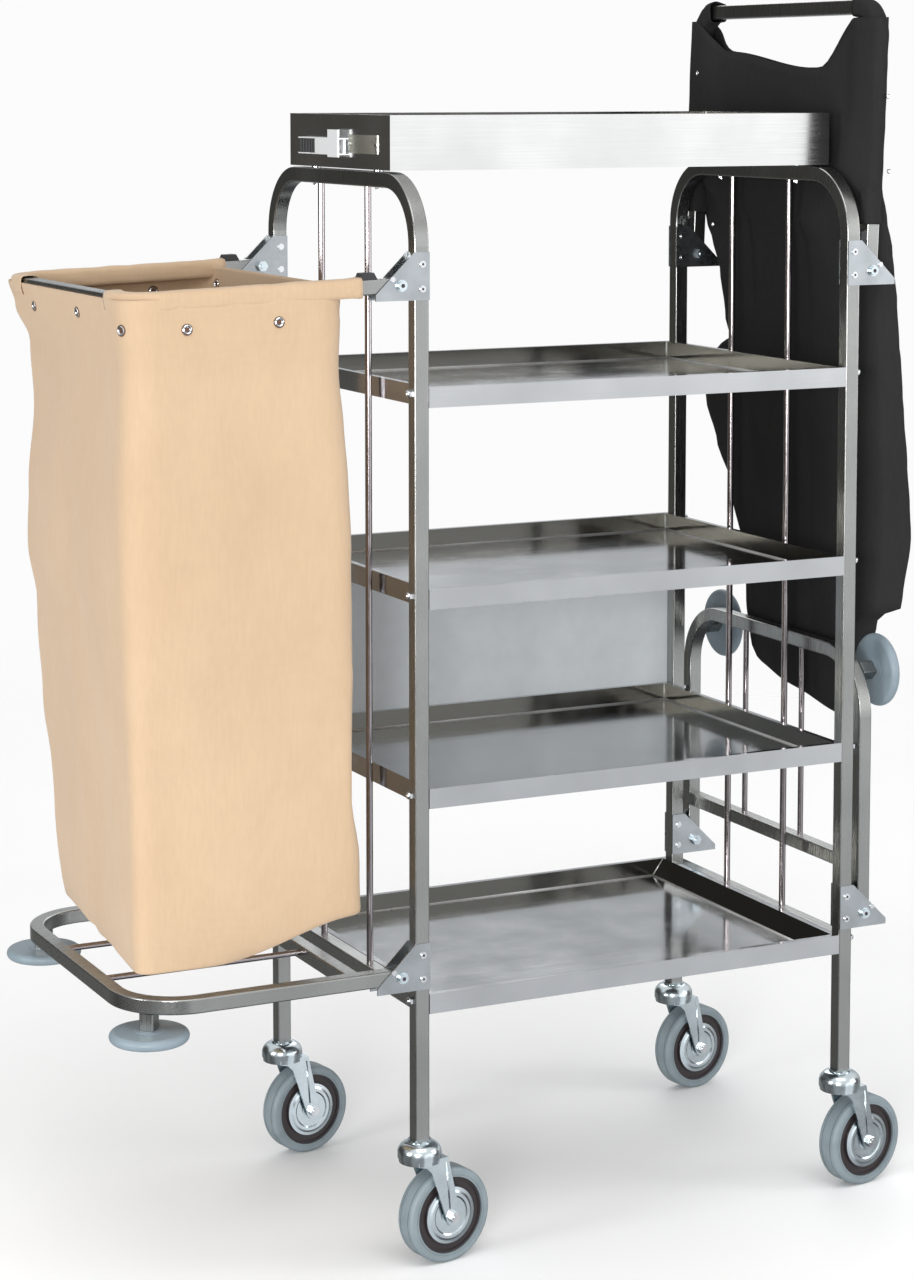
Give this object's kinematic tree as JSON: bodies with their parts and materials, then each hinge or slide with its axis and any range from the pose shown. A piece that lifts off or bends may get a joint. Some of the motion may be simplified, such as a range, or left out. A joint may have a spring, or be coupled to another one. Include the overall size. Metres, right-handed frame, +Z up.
{
  "type": "linen trolley",
  "caption": "Steel-tube hotel linen trolley with trays, folding bag frames, folding bag platforms with round wall bumpers, and swivel castors.",
  "frame": {"origin": "on the floor, under the middle of the overall box at rest", "axes": "+X along the trolley towards the folded end, +Y towards the back, +Z up"},
  "size_m": [1.1804, 0.5193, 1.629],
  "materials": {
    "satin_steel": "satin brushed stainless steel",
    "polished_steel": "bright drawn round bar",
    "zinc_plate": "bright zinc plate",
    "grey_panel": "smooth light grey coating",
    "grey_rubber": "grey non-marking rubber",
    "black_plastic": "moulded black nylon",
    "black_rubber": "matt black rubber",
    "spring_steel": "sprung steel strip",
    "black_bolt": "black oxide",
    "grey_bumper": "soft grey plastic",
    "beige_cloth": "plain woven beige canvas",
    "black_cloth": "plain woven black canvas"
  },
  "bodies": {
    "trolley": {"side_frame_left": "satin_steel", "side_frame_right": "satin_steel", "bottom_rails": "satin_steel", "side_rods": "polished_steel", "top_tray": "satin_steel", "tray_studs": "zinc_plate", "shelf_1": "satin_steel", "shelf_2": "satin_steel", "shelf_3": "satin_steel", "shelf_4": "satin_steel", "back_panel": "grey_panel", "shelf_bolts": "zinc_plate", "cap_nuts": "zinc_plate", "bracket_plates_left": "zinc_plate", "bracket_plates_right": "zinc_plate", "rivets": "zinc_plate", "pivot_bolts": "zinc_plate", "clip_channel": "zinc_plate", "clip_grip": "black_rubber", "clip_band": "spring_steel", "clip_rivets": "zinc_plate", "castor_heads": "zinc_plate"},
    "castor_fl": {"fork_fl": "zinc_plate", "axle_fl": "zinc_plate"},
    "wheel_fl": {"tyre_fl": "grey_rubber", "wheel_core_fl": "black_plastic", "wheel_caps_fl": "zinc_plate"},
    "castor_fr": {"fork_fr": "zinc_plate", "axle_fr": "zinc_plate"},
    "wheel_fr": {"tyre_fr": "grey_rubber", "wheel_core_fr": "black_plastic", "wheel_caps_fr": "zinc_plate"},
    "castor_bl": {"fork_bl": "zinc_plate", "axle_bl": "zinc_plate"},
    "wheel_bl": {"tyre_bl": "grey_rubber", "wheel_core_bl": "black_plastic", "wheel_caps_bl": "zinc_plate"},
    "castor_br": {"fork_br": "zinc_plate", "axle_br": "zinc_plate"},
    "wheel_br": {"tyre_br": "grey_rubber", "wheel_core_br": "black_plastic", "wheel_caps_br": "zinc_plate"},
    "bag_hoop_left": {"bag_frame_left": "satin_steel", "buffers_left": "black_rubber", "bag_left": "beige_cloth"},
    "foot_frame_left": {"platform_left": "satin_steel", "platform_rods_left": "polished_steel", "bumper_legs_left": "satin_steel", "bumper_bolts_left": "black_bolt"},
    "roller_lf": {"bumper_lf": "grey_bumper"},
    "roller_lb": {"bumper_lb": "grey_bumper"},
    "bag_hoop_right": {"bag_frame_right": "satin_steel", "buffers_right": "black_rubber", "bag_right": "black_cloth"},
    "foot_frame_right": {"platform_right": "satin_steel", "platform_rods_right": "polished_steel", "bumper_legs_right": "satin_steel", "bumper_bolts_right": "black_bolt"},
    "roller_rf": {"bumper_rf": "grey_bumper"},
    "roller_rb": {"bumper_rb": "grey_bumper"}
  },
  "joints": [
    {"name": "swivel_fl", "type": "hinge", "parent": "trolley", "child": "castor_fl", "pos_m": [-0.18237, -0.2312, 0.141], "axis": [0, 0, 1], "continuous": true},
    {"name": "roll_fl", "type": "hinge", "parent": "castor_fl", "child": "wheel_fl", "pos_m": [-0.14495, -0.2246, 0.0625], "axis": [-0.1736, 0.9848, 0], "continuous": true},
    {"name": "swivel_fr", "type": "hinge", "parent": "trolley", "child": "castor_fr", "pos_m": [0.45763, -0.2312, 0.141], "axis": [0, 0, 1], "continuous": true},
    {"name": "roll_fr", "type": "hinge", "parent": "castor_fr", "child": "wheel_fr", "pos_m": [0.49505, -0.2246, 0.0625], "axis": [-0.1736, 0.9848, 0], "continuous": true},
    {"name": "swivel_bl", "type": "hinge", "parent": "trolley", "child": "castor_bl", "pos_m": [-0.18237, 0.2238, 0.141], "axis": [0, 0, 1], "continuous": true},
    {"name": "roll_bl", "type": "hinge", "parent": "castor_bl", "child": "wheel_bl", "pos_m": [-0.14495, 0.2304, 0.0625], "axis": [-0.1736, 0.9848, 0], "continuous": true},
    {"name": "swivel_br", "type": "hinge", "parent": "trolley", "child": "castor_br", "pos_m": [0.45763, 0.2238, 0.141], "axis": [0, 0, 1], "continuous": true},
    {"name": "roll_br", "type": "hinge", "parent": "castor_br", "child": "wheel_br", "pos_m": [0.49505, 0.2304, 0.0625], "axis": [-0.1736, 0.9848, 0], "continuous": true},
    {"name": "bag_fold_left", "type": "hinge", "parent": "trolley", "child": "bag_hoop_left", "pos_m": [-0.21137, -0.0037, 1.267], "axis": [0, 1, 0], "range_deg": [0, 90], "deforming": ["bag_left"]},
    {"name": "foot_fold_left", "type": "hinge", "parent": "trolley", "child": "foot_frame_left", "pos_m": [-0.21137, -0.0037, 0.386], "axis": [0, 1, 0], "range_deg": [0, 90], "deforming": ["bag_left"]},
    {"name": "bumper_spin_lf", "type": "hinge", "parent": "foot_frame_left", "child": "roller_lf", "pos_m": [-0.54023, -0.20765, 0.3471], "axis": [0, 0, 1], "continuous": true},
    {"name": "bumper_spin_lb", "type": "hinge", "parent": "foot_frame_left", "child": "roller_lb", "pos_m": [-0.54023, 0.20025, 0.3471], "axis": [0, 0, 1], "continuous": true},
    {"name": "bag_fold_right", "type": "hinge", "parent": "trolley", "child": "bag_hoop_right", "pos_m": [0.48663, -0.0037, 1.267], "axis": [0, 1, 0], "range_deg": [0, 90], "deforming": ["bag_right"]},
    {"name": "foot_fold_right", "type": "hinge", "parent": "trolley", "child": "foot_frame_right", "pos_m": [0.48663, -0.0037, 0.386], "axis": [0, 1, 0], "range_deg": [0, 90], "deforming": ["bag_right"]},
    {"name": "bumper_spin_rf", "type": "hinge", "parent": "foot_frame_right", "child": "roller_rf", "pos_m": [0.52553, -0.20765, 0.71485], "axis": [1, 0, 0], "continuous": true},
    {"name": "bumper_spin_rb", "type": "hinge", "parent": "foot_frame_right", "child": "roller_rb", "pos_m": [0.52553, 0.20025, 0.71485], "axis": [1, 0, 0], "continuous": true}
  ]
}
